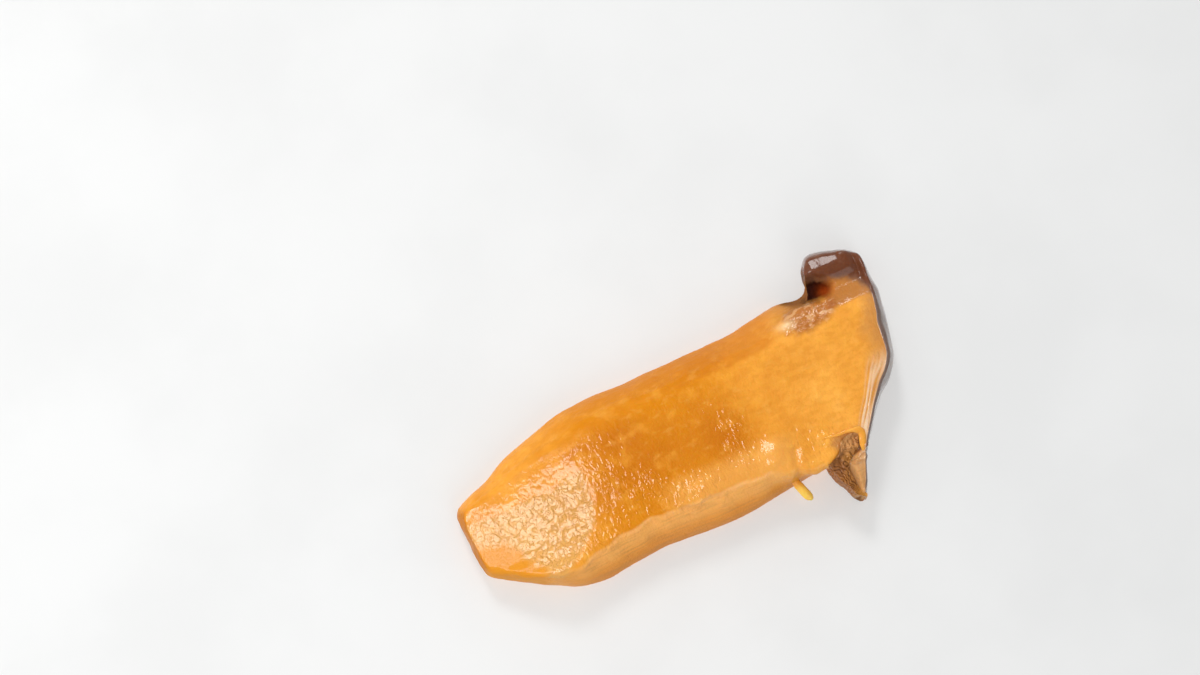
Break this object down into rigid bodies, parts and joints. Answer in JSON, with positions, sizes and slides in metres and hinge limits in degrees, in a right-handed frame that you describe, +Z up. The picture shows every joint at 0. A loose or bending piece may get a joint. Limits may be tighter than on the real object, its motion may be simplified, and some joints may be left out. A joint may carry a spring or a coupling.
{
  "type": "king oyster mushroom slice",
  "caption": "Thick lengthwise slice of a soy-braised king oyster mushroom, with its swollen stem, brown-skinned cap edge and gills, lying on its cut face.",
  "frame": {"origin": "middle of the lower cut face's box, on the surface that the slice lies on", "axes": "+X along the stem from its trimmed base to the cap, +Y across the slice to the rolled cap margin, +Z up, square to the cut faces"},
  "size_m": [0.1254, 0.0636, 0.013],
  "materials": {
    "braised_flesh": "wet, glossy amber-brown mushroom flesh, soaked in soy sauce, with dark brown skin along the cap's edge"
  },
  "bodies": {
    "root": {"mushroom_slice": "braised_flesh"}
  },
  "joints": []
}
